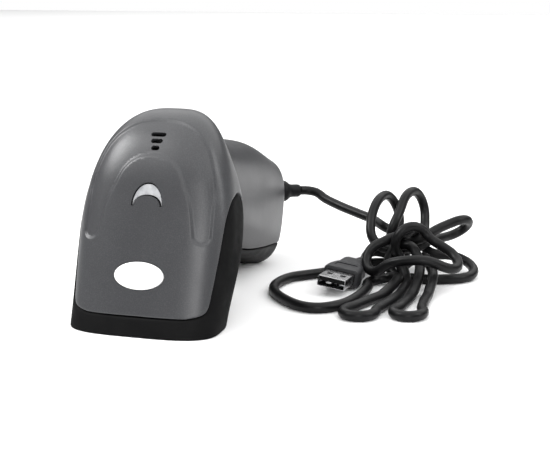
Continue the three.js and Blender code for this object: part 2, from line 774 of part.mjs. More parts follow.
// The plug: its z runs out of its mouth, its x across its width.
function buildPlug() {
  const plug = new THREE.Group();
  plug.position.set(...PLUG_PLACE);
  plug.rotation.set(90 * DEGREE + PLUG_PITCH, PLUG_ROLL, PLUG_YAW, "ZYX");
  cord.add(plug);

  const wall = 0.35;
  const sunk = 5; // how far the shell is held in the overmould
  const outer = box(USB_WIDTH, USB_HEIGHT, USB_LENGTH + sunk, 0, 0, -(USB_LENGTH + sunk) / 2);
  const hollow = box(USB_WIDTH - 2 * wall, USB_HEIGHT - 2 * wall, USB_LENGTH, 0, 0, -USB_LENGTH / 2 + 1);
  add(plug, "usb_shell", solidOf(outer).subtract(solidOf(hollow)), steel);
  add(plug, "usb_tongue", box(10.6, 1.6, 9.6, 0, 0.8, -5.9), whitePlastic);

  const front = block(15.6, OVERMOULD_HEIGHT, 13, -USB_LENGTH);
  const rear = block(11, OVERMOULD_HEIGHT, 9, -USB_LENGTH - 12.5);
  const boot = new THREE.CylinderGeometry(3.4, 2.6, BOOT_LENGTH + 1, 20).rotateX(90 * DEGREE);
  boot.translate(0, 0, -BOOT_AT - BOOT_LENGTH / 2 + 0.5);
  const socket = box(USB_WIDTH + 2 * GAP, USB_HEIGHT + 2 * GAP, 8, 0, 0, -USB_LENGTH - 1.3);
  const solid = solidOf(front).add(solidOf(rear)).add(solidOf(boot));
  add(plug, "usb_overmould", solid.subtract(solidOf(socket)), greyPlasticPart);
}

// A block with rounded edges along its length, from its front at z back by its length.
function block(width, height, length, z) {
  const shape = roundedPlate(width / 2, -height / 2, height / 2, 1.8);
  const geometry = new THREE.ExtrudeGeometry(shape, { depth: length, bevelEnabled: false, curveSegments: 3 });
  return geometry.translate(0, 0, z - length);
}

buildHousings();
buildFace();
buildWindow();
buildEngine();
buildMirror();
buildBoard();
buildTrigger();
buildScrews();
buildGland();
buildCord();
buildPlug();

const assembly = new THREE.Group();
assembly.add(scanner, cord);
export default assembly;
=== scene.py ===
"""Handheld barcode scanner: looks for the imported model. Lengths are in millimetres until a mesh is
made, where MM turns them into metres."""

import math

import bmesh
import bpy
import numpy as np
from mathutils import Matrix, Vector


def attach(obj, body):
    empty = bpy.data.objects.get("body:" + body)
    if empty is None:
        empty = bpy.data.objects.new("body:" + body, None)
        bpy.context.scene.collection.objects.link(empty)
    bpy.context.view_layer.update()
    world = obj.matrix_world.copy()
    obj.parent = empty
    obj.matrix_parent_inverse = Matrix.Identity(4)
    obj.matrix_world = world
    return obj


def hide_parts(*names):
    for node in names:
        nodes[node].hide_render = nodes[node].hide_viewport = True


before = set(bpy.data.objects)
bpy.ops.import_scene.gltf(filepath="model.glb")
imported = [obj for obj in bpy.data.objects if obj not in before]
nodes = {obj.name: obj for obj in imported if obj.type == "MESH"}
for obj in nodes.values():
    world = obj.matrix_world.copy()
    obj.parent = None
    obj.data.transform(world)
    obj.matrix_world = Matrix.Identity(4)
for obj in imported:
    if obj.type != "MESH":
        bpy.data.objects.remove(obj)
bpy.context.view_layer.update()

MM = 0.001
BODY = "scanner_body"

# ---------------------------------------------------------------- camera
CAMERA_AZIMUTH = math.radians(16.5)
CAMERA_ELEVATION = math.radians(12)
CAMERA_PLACE = (167.30, -450.49, 129.85)
LENS = 76.58
SENSOR = 36


def make_camera():
    data = bpy.data.cameras.new("camera")
    data.lens = LENS
    data.sensor_width = SENSOR
    data.clip_start = 0.01
    camera = bpy.data.objects.new("camera", data)
    camera.location = Vector(CAMERA_PLACE) * MM
    camera.rotation_euler = (math.pi / 2 - CAMERA_ELEVATION, 0, CAMERA_AZIMUTH)
    bpy.context.scene.collection.objects.link(camera)
    bpy.context.scene.camera = camera


# ---------------------------------------------------------------- materials
class Surface:
    """A procedural material: a shader, and noise in object space for its colour, gloss and grain."""

    def __init__(self, name, colour, roughness, metallic=0.0, specular=0.5, **inputs):
        self.material = bpy.data.materials.new(name)
        self.material.use_nodes = True
        self.tree = self.material.node_tree
        self.shader = self.tree.nodes["Principled BSDF"]
        self.colour, self.roughness = colour, roughness
        self.set("Base Color", (*colour, 1))
        self.set("Roughness", roughness)
        self.set("Metallic", metallic)
        self.set("Specular IOR Level", specular)
        for key, value in inputs.items():
            self.set(key.replace("_", " "), value)
        self.coordinates = self.tree.nodes.new("ShaderNodeTexCoord").outputs["Object"]
        self.normal = None

    def set(self, socket, value):
        self.shader.inputs[socket].default_value = value

    def link(self, output, target):
        self.tree.links.new(output, target)

    def noise(self, size, low, high, detail=3, stretch=None, sharp=(0.3, 0.7)):
        """Noise with features of about that size in mm, mapped to low..high."""
        source = self.coordinates
        if stretch:
            mapping = self.tree.nodes.new("ShaderNodeMapping")
            mapping.inputs["Scale"].default_value = stretch
            self.link(source, mapping.inputs["Vector"])
            source = mapping.outputs["Vector"]
        texture = self.tree.nodes.new("ShaderNodeTexNoise")
        texture.inputs["Scale"].default_value = 1 / (size * MM)
        texture.inputs["Detail"].default_value = detail
        self.link(source, texture.inputs["Vector"])
        ramp = self.tree.nodes.new("ShaderNodeMapRange")
        ramp.inputs["From Min"].default_value, ramp.inputs["From Max"].default_value = sharp
        ramp.inputs["To Min"].default_value, ramp.inputs["To Max"].default_value = low, high
        self.link(texture.outputs["Fac"], ramp.inputs["Value"])
        return ramp.outputs["Result"]

    def mottle(self, size, other, amount=1.0, **options):
        """Colour that drifts to another one in patches."""
        mix = self.tree.nodes.new("ShaderNodeMix")
        mix.data_type = "RGBA"
        socket = self.shader.inputs["Base Color"]
        if socket.is_linked:
            self.link(socket.links[0].from_socket, mix.inputs["A"])
        else:
            mix.inputs["A"].default_value = (*self.colour, 1)
        mix.inputs["B"].default_value = (*other, 1)
        self.link(self.noise(size, 0, amount, **options), mix.inputs["Factor"])
        self.link(mix.outputs["Result"], socket)
        return self

    def gloss(self, size, low, high, **options):
        self.link(self.noise(size, low, high, **options), self.shader.inputs["Roughness"])
        return self

    def grain(self, size, depth, strength=1.0, **options):
        """Fine relief, that deep in mm."""
        bump = self.tree.nodes.new("ShaderNodeBump")
        bump.inputs["Strength"].default_value = strength
        bump.inputs["Distance"].default_value = depth * MM
        self.link(self.noise(size, 0, 1, **options), bump.inputs["Height"])
        if self.normal:
            self.link(self.normal, bump.inputs["Normal"])
        self.normal = bump.outputs["Normal"]
        self.link(self.normal, self.shader.inputs["Normal"])
        return self


def satin_grey():
    s = Surface("satin_grey", (0.038, 0.039, 0.042), 0.35, metallic=0.05, specular=0.48)
    s.mottle(0.4, (0.085, 0.086, 0.09), 0.5, detail=2, sharp=(0.45, 0.75))
    s.mottle(30, (0.034, 0.034, 0.037), 0.5)
    s.gloss(12, 0.33, 0.38)
    return s.grain(0.5, 0.02, 0.6).material


def soft_rubber():
    s = Surface("soft_rubber", (0.004, 0.004, 0.0043), 0.6, specular=0.06)
    s.mottle(14, (0.007, 0.007, 0.007), 0.7)
    s.gloss(8, 0.52, 0.72)
    return s.grain(0.5, 0.03, 0.5).material


def black_plastic():
    s = Surface("grained_black", (0.006, 0.006, 0.0065), 0.42, specular=0.12)
    s.mottle(20, (0.01, 0.01, 0.0105), 0.6)
    s.gloss(5, 0.38, 0.55)
    return s.grain(0.4, 0.03, 0.6).material


def cord_jacket():
    s = Surface("cord_jacket", (0.004, 0.004, 0.0043), 0.31, specular=0.18)
    s.mottle(9, (0.007, 0.007, 0.0074), 0.7)
    s.gloss(4, 0.3, 0.45)
    return s.grain(0.7, 0.02, 0.5).material


def moulded_grey():
    s = Surface("moulded_grey", (0.019, 0.0195, 0.0215), 0.5, specular=0.3)
    s.mottle(6, (0.027, 0.027, 0.029), 0.7)
    s.gloss(3, 0.42, 0.6)
    return s.grain(0.3, 0.02, 0.5).material


def badge_white():
    coat = {"Coat_Weight": 0.3, "Coat_Roughness": 0.1}
    s = Surface("badge_white", (0.9, 0.9, 0.89), 0.3, **coat)
    s.mottle(8, (0.84, 0.845, 0.84), 0.5)
    s.gloss(5, 0.24, 0.36)
    return s.grain(1.2, 0.01, 0.3).material


def lens_clear():
    coat = {"Coat_Weight": 0.6, "Coat_Roughness": 0.05}
    s = Surface("lens_clear", (0.3, 0.305, 0.32), 0.16, specular=0.6, **coat)
    s.mottle(2.5, (0.5, 0.505, 0.515), 0.8)
    s.gloss(3, 0.12, 0.24)
    return s.grain(1.5, 0.02, 0.3).material


def window_red():
    coat = {"Coat_Weight": 0.5, "Coat_Roughness": 0.03}
    s = Surface("window_red", (0.09, 0.004, 0.008), 0.06, specular=0.6, **coat)
    s.mottle(12, (0.06, 0.003, 0.006), 0.6)
    return s.gloss(7, 0.04, 0.1).material


def plated_steel(name="plated_steel", colour=(0.62, 0.62, 0.63), roughness=0.26):
    s = Surface(name, colour, roughness, metallic=1.0)
    s.mottle(3, tuple(c * 0.85 for c in colour), 0.6)
    s.gloss(2.5, roughness - 0.06, roughness + 0.06)
    return s.grain(1.5, 0.004, 0.25).material


def bright_brass():
    return plated_steel("bright_brass", (0.55, 0.36, 0.12), 0.3)


def cast_magnesium():
    s = Surface("cast_magnesium", (0.27, 0.28, 0.29), 0.55, metallic=0.9)
    s.mottle(2, (0.2, 0.205, 0.21), 0.8)
    s.gloss(1.5, 0.48, 0.65)
    return s.grain(0.6, 0.05, 0.7).material


def mirror_glass():
    s = Surface("mirror_glass", (0.82, 0.85, 0.88), 0.03, metallic=1.0)
    s.mottle(6, (0.76, 0.8, 0.84), 0.6)
    return s.gloss(4, 0.02, 0.07).material


def board_green():
    s = Surface("board_green", (0.01, 0.075, 0.028), 0.4, specular=0.5)
    s.mottle(1.4, (0.02, 0.12, 0.045), 0.8, detail=0, sharp=(0.48, 0.52))
    s.gloss(3, 0.32, 0.48)
    return s.grain(1.4, 0.03, 0.6, detail=0, sharp=(0.48, 0.52)).material


def copper_wire():
    return plated_steel("copper_wire", (0.62, 0.25, 0.12), 0.32)


def white_plastic():
    s = Surface("moulded_white", (0.75, 0.75, 0.73), 0.4)
    s.mottle(3, (0.66, 0.66, 0.63), 0.7)
    s.gloss(2, 0.34, 0.48)
    return s.grain(0.4, 0.015, 0.5).material


def dress(obj, material):
    obj.data.materials.clear()
    obj.data.materials.append(material)


def dress_everything(pieces):
    steel = plated_steel()
    black = black_plastic()
    white = white_plastic()
    grey = moulded_grey()
    looks = {
        "indicator_led": white,
        "beeper": black,
        "window_frame": black,
        "scan_window": window_red(),
        "engine_chassis": cast_magnesium(),
        "laser_module": bright_brass(),
        "collection_mirror": mirror_glass(),
        "photodiode_board": board_green(),
        "photodiode": black,
        "mirror_magnet": steel,
        "drive_coil": copper_wire(),
        "decoder_chip": black,
        "switch_body": black,
        "switch_plunger": white,
        "cable_connector": white,
        "trigger": grey,
        "trigger_pin": steel,
        "trigger_spring": steel,
        "usb_tongue": black,
    }
    looks["scan_mirror"] = looks["collection_mirror"]
    looks["main_board"] = looks["photodiode_board"]
    for i in (1, 2):
        looks[f"board_screw_{i}"] = looks[f"housing_screw_{i}"] = steel
    for name, material in looks.items():
        dress(nodes[name], material)
    for piece, material in pieces:
        dress(piece, material)


# ---------------------------------------------------------------- the body's shape
BODY_SHIFT = 69.768  # the body's own frame starts this far in front of the origin
WALL = 2.2
GAP = 0.3  # clearance between pieces that meet

HEAD_HALF_WIDTH = 31.1
NOSE_NARROWING = 1.5
HEAD_HALF_DEPTH = 18.4
NOSE_UNDER_DEPTH = 10.4
UNDERSIDE_FULL_AT = 33.1
HEAD_LEAN = math.radians(19.6)
SPINE_FOOT_Y = 18.4
SPINE_STRAIGHT = 50.6
SPINE_BEND = 41.4
HEAD_LENGTH = 84.6
SIDE_CLOSURE = 50.6
DEPTH_CLOSURE = 23.9
HEAD_SQUARENESS = 3.2

HANDLE_Y = 57
HANDLE_Z = 46.6
HANDLE_FALL = math.radians(18)
HANDLE_LENGTH = 81.9
HANDLE_ROOT = -16.6
HANDLE_HALF_WIDTH = 18.4
BUTT_HALF_WIDTH = 20.7
HANDLE_HALF_DEPTH = 20.7
BUTT_HALF_DEPTH = 25.8
BUTT_ROUND = 8.3
HANDLE_SQUARENESS = 3.2
HANDLE_CROWN = 3.2  # the top of the handle bulges by this, half way along

NECK_FILLET = 7.0  # how far the head and the handle blend into each other
EDGE_ROUND = 0.9  # how far from a seam its edge starts to turn in
CHANNEL_DEPTH = 0.75
CHANNEL_WALL = 1.5
# the horseshoe channel's centre line on the right half of the face: across, along the spine, half width
CHANNEL = [
    (22, 32.8, 3.1),
    (21.5, 38, 3.5),
    (20.7, 45, 4.2),
    (19.4, 51, 5.2),
    (15.2, 58.8, 5.8),
    (8.5, 63.2, 5.8),
    (0, 64.4, 5.7),
]


SEAM_STEPS = 14  # points along each span of a seam


def spline_through(points, per_span=SEAM_STEPS):
    """Uniform Catmull-Rom curve through points."""
    p = np.array(points, float)
    p = np.vstack([p[0], p, p[-1]])
    out = []
    for a, b, c, d in zip(p[:-3], p[1:-2], p[2:-1], p[3:]):
        t = np.linspace(0, 1, per_span, endpoint=False)[:, None]
        v0, v1 = (c - a) / 2, (d - b) / 2
        out.append(
            (2 * b - 2 * c + v0 + v1) * t**3 + (-3 * b + 3 * c - 2 * v0 - v1) * t**2 + v0 * t + b
        )
    return np.vstack([*out, p[-1:]])


# the whole line, so that its top is smooth where the two halves meet
CHANNEL_STEPS = 8
CHANNEL_MIRRORED = [(-x, s, w) for x, s, w in CHANNEL[-2::-1]]
CHANNEL_LINE = spline_through(CHANNEL + CHANNEL_MIRRORED, CHANNEL_STEPS)
CHANNEL_LINE = CHANNEL_LINE[: CHANNEL_STEPS * (len(CHANNEL) - 1) + 5]  # a little past the middle


def smoothstep(t):
    t = np.clip(t, 0, 1)
    return t * t * (3 - 2 * t)


def closure(s, stretch):
    t = np.clip((s - (HEAD_LENGTH - stretch)) / stretch, 0, 1)
    return np.sqrt(1 - t * t)


def spine_at(s):
    """Lean, y and z of the head's spine at length s."""
    run = np.minimum(s, SPINE_STRAIGHT)
    lean = HEAD_LEAN + np.maximum(s - SPINE_STRAIGHT, 0) / SPINE_BEND
    y = SPINE_FOOT_Y + run * math.sin(HEAD_LEAN) + SPINE_BEND * (math.cos(HEAD_LEAN) - np.cos(lean))
    z = run * math.cos(HEAD_LEAN) + SPINE_BEND * (np.sin(lean) - math.sin(HEAD_LEAN))
    return lean, y - BODY_SHIFT, z


def head_sizes(s):
    """Half width, reach over the spine and reach under it, of the head's rib at s."""
    full = smoothstep((s + 4) / (UNDERSIDE_FULL_AT + 4))
    under = NOSE_UNDER_DEPTH + (HEAD_HALF_DEPTH - NOSE_UNDER_DEPTH) * full
    side = HEAD_HALF_WIDTH - NOSE_NARROWING * (1 - full)
    shut = closure(s, DEPTH_CLOSURE)
    return side * closure(s, SIDE_CLOSURE), HEAD_HALF_DEPTH * shut, under * shut


def spine_coordinates(p):
    """Length along the spine and height over it, towards the face, of points (x, y, z)."""
    y = p[:, 1] + BODY_SHIFT
    z = p[:, 2]
    dy = y - SPINE_FOOT_Y
    s = dy * math.sin(HEAD_LEAN) + z * math.cos(HEAD_LEAN)
    n = -dy * math.cos(HEAD_LEAN) + z * math.sin(HEAD_LEAN)
    cy = SPINE_FOOT_Y + SPINE_STRAIGHT * math.sin(HEAD_LEAN) + SPINE_BEND * math.cos(HEAD_LEAN)
    cz = SPINE_STRAIGHT * math.cos(HEAD_LEAN) - SPINE_BEND * math.sin(HEAD_LEAN)
    lean = np.arctan2(z - cz, cy - y)
    lean = np.where(lean < -math.pi / 2, lean + 2 * math.pi, lean)
    bent = s > SPINE_STRAIGHT
    s = np.where(bent, SPINE_STRAIGHT + SPINE_BEND * (lean - HEAD_LEAN), s)
    return s, np.where(bent, np.hypot(y - cy, z - cz) - SPINE_BEND, n)


def rib_distance(x, m, width, height, exponent):
    """About how far (x, m) lies outside a superellipse."""
    reach = np.hypot(x, m) + 1e-9
    size = (np.abs(x) / width) ** exponent + (np.abs(m) / height) ** exponent
    return reach - reach / np.maximum(size, 1e-9) ** (1 / exponent)


def channel_distance(x, s):
    """Signed distance from the edge of the horseshoe channel, negative inside it."""
    x = np.abs(x)
    nearest = np.full(len(x), 1e9)
    for (x1, s1, w1), (x2, s2, w2) in zip(CHANNEL_LINE[:-1], CHANNEL_LINE[1:]):
        dx, ds = x2 - x1, s2 - s1
        t = np.clip(((x - x1) * dx + (s - s1) * ds) / (dx * dx + ds * ds), 0, 1)
        nearest = np.minimum(nearest, np.hypot(x - x1 - t * dx, s - s1 - t * ds) - w1 - t * (w2 - w1))
    return nearest


def head_field(p):
    s, n = spine_coordinates(p)
    width, over, under = head_sizes(s)
    width, over, under = (np.maximum(v, 0.05) for v in (width, over, under))
    distance = rib_distance(p[:, 0], n - (over - under) / 2, width, (over + under) / 2, HEAD_SQUARENESS)
    sunk = smoothstep(0.5 - channel_distance(p[:, 0], s) / CHANNEL_WALL)
    return np.maximum(distance + CHANNEL_DEPTH * sunk * (n > 0), s - HEAD_LENGTH)


def handle_coordinates(p):
    """Points in the handle's frame: x, towards the trigger, along the handle."""
    y = p[:, 1] + BODY_SHIFT - HANDLE_Y
    z = p[:, 2] - HANDLE_Z
    c, s = math.cos(HANDLE_FALL), math.sin(HANDLE_FALL)
    return p[:, 0], -s * y - c * z, c * y - s * z


def from_handle(x, y, z):
    c, s = math.cos(HANDLE_FALL), math.sin(HANDLE_FALL)
    return np.stack([x, HANDLE_Y - BODY_SHIFT - s * y + c * z, HANDLE_Z - c * y - s * z], -1)


def handle_sizes(s, inset=0):
    """Half width, and reach below and above the axis, of the handle's rib at s."""
    share = np.clip(s / HANDLE_LENGTH, 0, 1)
    t = np.clip((s - (HANDLE_LENGTH - inset - BUTT_ROUND)) / BUTT_ROUND, 0, 1)
    shrink = inset + BUTT_ROUND * (1 - np.sqrt(1 - t * t))
    width = HANDLE_HALF_WIDTH + (BUTT_HALF_WIDTH - HANDLE_HALF_WIDTH) * share - shrink
    depth = HANDLE_HALF_DEPTH + (BUTT_HALF_DEPTH - HANDLE_HALF_DEPTH) * share - shrink
    return width, depth, depth + HANDLE_CROWN * np.sin(math.pi * share) ** 2


def handle_field(p):
    x, y, s = handle_coordinates(p)
    width, below, above = handle_sizes(s)
    distance = rib_distance(x, y, width, np.where(y < 0, above, below), HANDLE_SQUARENESS)
    return np.maximum(distance, np.maximum(s - HANDLE_LENGTH, HANDLE_ROOT - s))


def smooth_max(a, b, reach):
    h = np.maximum(reach - np.abs(a - b), 0) / reach
    return np.maximum(a, b) + h * h * reach / 4


def body_field(p):
    return -smooth_max(-head_field(p), -handle_field(p), NECK_FILLET)


def gradient(field, p, step=0.02):
    slopes = []
    for k in range(3):
        d = np.zeros(3)
        d[k] = step
        slopes.append((field(p + d) - field(p - d)) / (2 * step))
    return np.stack(slopes, 1)


def project(field, p, turns=4, longest=0.6):
    """Moves points onto the surface where the field is zero."""
    p = p.copy()
    for _ in range(turns):
        slope = gradient(field, p)
        move = field(p)[:, None] * slope / np.maximum((slope**2).sum(1, keepdims=True), 0.05)
        size = np.linalg.norm(move, axis=1, keepdims=True)
        p -= move * np.minimum(1, longest / np.maximum(size, 1e-9))
    return p


# ---------------------------------------------------------------- mesh helpers
def new_object(name, points, faces):
    mesh = bpy.data.meshes.new(name)
    mesh.from_pydata([tuple(v) for v in np.asarray(points, float) * MM], [], faces)
    bm = bmesh.new()
    bm.from_mesh(mesh)
    bmesh.ops.remove_doubles(bm, verts=bm.verts, dist=1e-7)
    bmesh.ops.recalc_face_normals(bm, faces=bm.faces)
    bm.to_mesh(mesh)
    bm.free()
    obj = bpy.data.objects.new(name, mesh)
    bpy.context.scene.collection.objects.link(obj)
    return obj


def copy_of(obj, name):
    twin = bpy.data.objects.new(name, obj.data.copy())
    bpy.context.scene.collection.objects.link(twin)
    return twin


def combine(obj, other, operation, keep=False):
    """Boolean of obj with other, which is used up unless it is kept."""
    modifier = obj.modifiers.new("combine", "BOOLEAN")
    modifier.operation = operation
    modifier.object = other
    modifier.solver = "MANIFOLD"
    graph = bpy.context.evaluated_depsgraph_get()
    graph.update()
    mesh = bpy.data.meshes.new_from_object(obj.evaluated_get(graph))
    obj.modifiers.clear()
    if not len(mesh.polygons):
        raise RuntimeError(f"{obj.name}: {operation} with {other.name} left nothing")
    old = obj.data
    obj.data = mesh
    bpy.data.meshes.remove(old)
    if not keep:
        bpy.data.objects.remove(other)
    return obj


def places(mesh):
    p = np.empty(len(mesh.vertices) * 3)
    mesh.vertices.foreach_get("co", p)
    return p.reshape(-1, 3) / MM


def put(mesh, p):
    mesh.vertices.foreach_set("co", (p * MM).astype(np.float32).ravel())
    mesh.update()


def refine(obj, wanted, longest):
    """Splits the edges longer than that, in mm, between vertices that are all wanted."""
    bm = bmesh.new()
    bm.from_mesh(obj.data)
    near = wanted(places(obj.data))
    bm.verts.ensure_lookup_table()
    edges = [
        e
        for e in bm.edges
        if near[e.verts[0].index] and near[e.verts[1].index] and e.calc_length() > longest * MM
    ]
    bmesh.ops.subdivide_edges(bm, edges=edges, cuts=1)
    bmesh.ops.triangulate(bm, faces=[f for f in bm.faces if len(f.verts) > 3])
    bm.to_mesh(obj.data)
    bm.free()


def grid_solid(name, rings):
    """A closed loft through rings of equal length."""
    count = len(rings[0])
    points = np.concatenate([*rings, [rings[0].mean(0)], [rings[-1].mean(0)]])
    last = len(rings) - 1
    faces = []
    for i in range(last):
        for j in range(count):
            k = (j + 1) % count
            faces.append((i * count + j, i * count + k, (i + 1) * count + k, (i + 1) * count + j))
    for j in range(count):
        k = (j + 1) % count
        faces.append((j, k, len(points) - 2))
        faces.append((last * count + j, last * count + k, len(points) - 1))
    return new_object(name, points, faces)


def rib_angles(count, width, height, exponent):
    """Angles that space a superellipse's points evenly along it."""
    fine = np.linspace(0, 2 * math.pi, 8000)
    c, s = superellipse(fine, exponent)
    reach = np.concatenate([[0], np.cumsum(np.hypot(np.diff(c * width), np.diff(s * height)))])
    return np.interp(np.linspace(0, reach[-1], count, endpoint=False), reach, fine)


def superellipse(angle, exponent):
    c, s = np.cos(angle), np.sin(angle)
    return np.sign(c) * np.abs(c) ** (2 / exponent), np.sign(s) * np.abs(s) ** (2 / exponent)


def head_loft(name, around, along, inset=0):
    angles = rib_angles(around, HEAD_HALF_WIDTH, HEAD_HALF_DEPTH, HEAD_SQUARENESS)
    rear = HEAD_LENGTH - inset
    start = -16 if inset else -12
    share = 1 - DEPTH_CLOSURE / (rear - start)
    straight = int(along * share * 0.9)
    turned = np.linspace(0, math.pi / 2, along - straight)
    lengths = [*np.linspace(start, rear - DEPTH_CLOSURE, straight, endpoint=False)]
    lengths += [*(rear - DEPTH_CLOSURE * (1 - np.sin(turned)))]
    rings = []
    cx, cn = superellipse(angles, HEAD_SQUARENESS)
    for s in lengths:
        lean, y, z = spine_at(s)
        at = min(s + inset * (s > SPINE_STRAIGHT), HEAD_LENGTH - 0.02)
        width, over, under = (max(float(v) - inset, 0.4) for v in head_sizes(at))
        n = (over - under) / 2 + cn * (over + under) / 2
        rings.append(np.stack([cx * width, y - n * math.cos(lean), z + n * math.sin(lean)], 1))
    return grid_solid(name, rings)


def handle_loft(name, around, along, inset=0):
    angles = rib_angles(around, HANDLE_HALF_WIDTH, HANDLE_HALF_DEPTH, HANDLE_SQUARENESS)
    butt = HANDLE_LENGTH - inset
    turned = np.linspace(0, math.pi / 2, max(along // 7, 5))
    lengths = [*np.linspace(HANDLE_ROOT, butt - BUTT_ROUND, along, endpoint=False)]
    lengths += [*(butt - BUTT_ROUND * (1 - np.sin(turned)))]
    cx, cy = superellipse(angles, HANDLE_SQUARENESS)
    rings = []
    for s in lengths:
        width, below, above = handle_sizes(s, inset)
        depth = np.where(cy < 0, above, below)
        rings.append(from_handle(cx * width, cy * depth, np.full(around, s)))
    return grid_solid(name, rings)


def box_solid(name, low, high, place=lambda p: p):
    (x1, y1, z1), (x2, y2, z2) = low, high
    points = [(x, y, z) for z in (z1, z2) for y in (y1, y2) for x in (x1, x2)]
    faces = [(0, 1, 3, 2), (4, 5, 7, 6), (0, 1, 5, 4), (2, 3, 7, 6), (0, 2, 6, 4), (1, 3, 7, 5)]
    return new_object(name, place(np.array(points, float)), faces)


def prism(name, outline, low, high, place):
    """A solid between two heights over an outline. place turns (a, b, height) into the frame."""
    count = len(outline)
    a, b = np.array(outline, float).T
    points = np.concatenate([place(a, b, np.full(count, low)), place(a, b, np.full(count, high))])
    faces = [tuple(range(count)), tuple(range(count, 2 * count))]
    faces += [(i, (i + 1) % count, count + (i + 1) % count, count + i) for i in range(count)]
    return new_object(name, points, faces)


def from_side(y, z, x):
    return np.stack([x, y - BODY_SHIFT, z], 1)


def on_face(s0=None):
    """Places (x, along, height) on the head: along the spine's straight part, or on from s0."""

    def place(x, along, height):
        lean, y, z = spine_at(0 if s0 is None else s0)
        y = y + along * math.sin(lean) - height * math.cos(lean)
        z = z + along * math.cos(lean) + height * math.sin(lean)
        return np.stack([x, y, z], 1)

    return place


# ---------------------------------------------------------------- parting lines, as in the CAD
def beside(height, along):
    return (
        SPINE_FOOT_Y + along * math.sin(HEAD_LEAN) - height * math.cos(HEAD_LEAN),
        along * math.cos(HEAD_LEAN) + height * math.sin(HEAD_LEAN),
    )


# seen from the side: the seam up the head between the grey and the black, and on along the handle
FRONT_SEAM = [
    (3.2, 7.3),
    (7.4, 9.7),
    beside(12.6, 13),
    beside(11.6, 25),
    beside(10.3, 39.5),
    beside(7.2, 47),
    beside(2.6, 50.6),
    beside(-2, 52.2),
]
HANDLE_SEAM = [
    (45.3, 43),
    (55.2, 34.6),
    (65.1, 26.1),
    (77.4, 18.9),
    (90.6, 14),
    (101.4, 11.8),
    (121.2, 10.1),
    (131.1, 9.4),
    (190, 6),
]
WHOLE_SEAM = FRONT_SEAM + HANDLE_SEAM
WING_REAR = [(-7, 44), (-10.5, 26), (-13.8, 11), (-41.4, 8.3)]


def shifted(points, distance):
    """A line moved to the right of its direction."""
    p = np.array(points, float)
    along = np.vstack([p[1] - p[0], p[2:] - p[:-2], p[-1] - p[-2]])
    along /= np.linalg.norm(along, axis=1, keepdims=True)
    return p + distance * np.stack([along[:, 1], -along[:, 0]], 1)


def upper_outline(spread=0):
    """The edge of the grey housing: across the nose, up the head, round the bumper's wing and down
    the side of the handle."""
    line = shifted(spline_through(WHOLE_SEAM), spread)
    return np.vstack([[(-40, line[0][1])], line, [(190, 140), (-40, 140)]])


def bumper_outline(spread=0):
    """The rubber bumper: a band round the nose, with a wing up each side of the head."""
    front = shifted(spline_through(WHOLE_SEAM), GAP - spread)
    front = front[: SEAM_STEPS * (len(FRONT_SEAM) - 1) + 1]
    rear = shifted([front[-1], *(beside(*p) for p in WING_REAR)], -spread)
    line = np.vstack([front, spline_through(rear)[1:]])
    return np.vstack([[(-40, -20), (-40, line[0][1])], line, [(90, -20)]])


def outline_distance(outline, p):
    """Signed distance of points from an outline seen from the side, negative inside."""
    q = np.stack([p[:, 1] + BODY_SHIFT, p[:, 2]], 1)
    nearest = np.full(len(q), 1e9)
    inside = np.zeros(len(q), bool)
    for a, b in zip(outline, np.roll(outline, -1, axis=0)):
        d = b - a
        t = np.clip(((q - a) @ d) / (d @ d + 1e-12), 0, 1)
        nearest = np.minimum(nearest, np.linalg.norm(q - a - t[:, None] * d, axis=1))
        crosses = (a[1] > q[:, 1]) != (b[1] > q[:, 1])
        inside ^= crosses & (q[:, 0] < a[0] + (q[:, 1] - a[1]) / (d[1] + 1e-12) * d[0])
    return np.where(inside, -nearest, nearest)


# ---------------------------------------------------------------- housings
def finish_edges(obj, cuts):
    """Rounds the edges of a housing's outer skin where cuts, signed distances that are negative
    inside, end it, and gives the skin the normals of its true surface."""
    reach = EDGE_ROUND + 0.3

    def skin(p):
        value = body_field(p)
        for cut in cuts:
            value = smooth_max(value, cut(p), EDGE_ROUND)
        return value

    def near(p):
        close = np.abs(body_field(p)) < 0.2
        return close & (np.max([cut(p) for cut in cuts], 0) > -reach)

    for _ in range(2):
        refine(obj, near, 0.45)
    p = places(obj.data)
    chosen = near(p)
    p[chosen] = project(skin, p[chosen])
    put(obj.data, p)
    true_normals(obj, skin)


def true_normals(obj, skin, tolerance=0.12):
    """Shades the faces that lie on the skin by its slope, and leaves the others flat."""
    mesh = obj.data
    p = places(mesh)
    value = skin(p)
    slope = gradient(skin, p)
    slope /= np.maximum(np.linalg.norm(slope, axis=1, keepdims=True), 1e-6)
    count = len(mesh.loops)
    corner = np.empty(count, int)
    mesh.loops.foreach_get("vertex_index", corner)
    totals = np.empty(len(mesh.polygons), int)
    mesh.polygons.foreach_get("loop_total", totals)
    flat = np.empty(len(mesh.polygons) * 3)
    mesh.polygons.foreach_get("normal", flat)
    face = np.repeat(np.arange(len(totals)), totals)
    flat = flat.reshape(-1, 3)[face]
    bad = np.zeros(len(totals))
    np.maximum.at(bad, face, np.abs(value[corner]))
    good = (bad[face] < tolerance) & ((flat * slope[corner]).sum(1) > 0.3)
    normals = np.where(good[:, None], slope[corner], flat)
    mesh.shade_smooth()
    mesh.normals_split_custom_set([tuple(n) for n in normals])


def side_prism(name, outline):
    return prism(name, outline, -60, 60, from_side)


def ellipse(half_width, half_height, at, count=96):
    t = np.linspace(0, 2 * math.pi, count, endpoint=False)
    return np.stack([half_width * np.cos(t), at + half_height * np.sin(t)], 1)


def slot_outline(width, height):
    r = height / 2
    t = np.linspace(-math.pi / 2, math.pi / 2, 16)
    cap = np.stack([width / 2 - r + r * np.cos(t), r * np.sin(t)], 1)
    return np.vstack([cap, -cap])


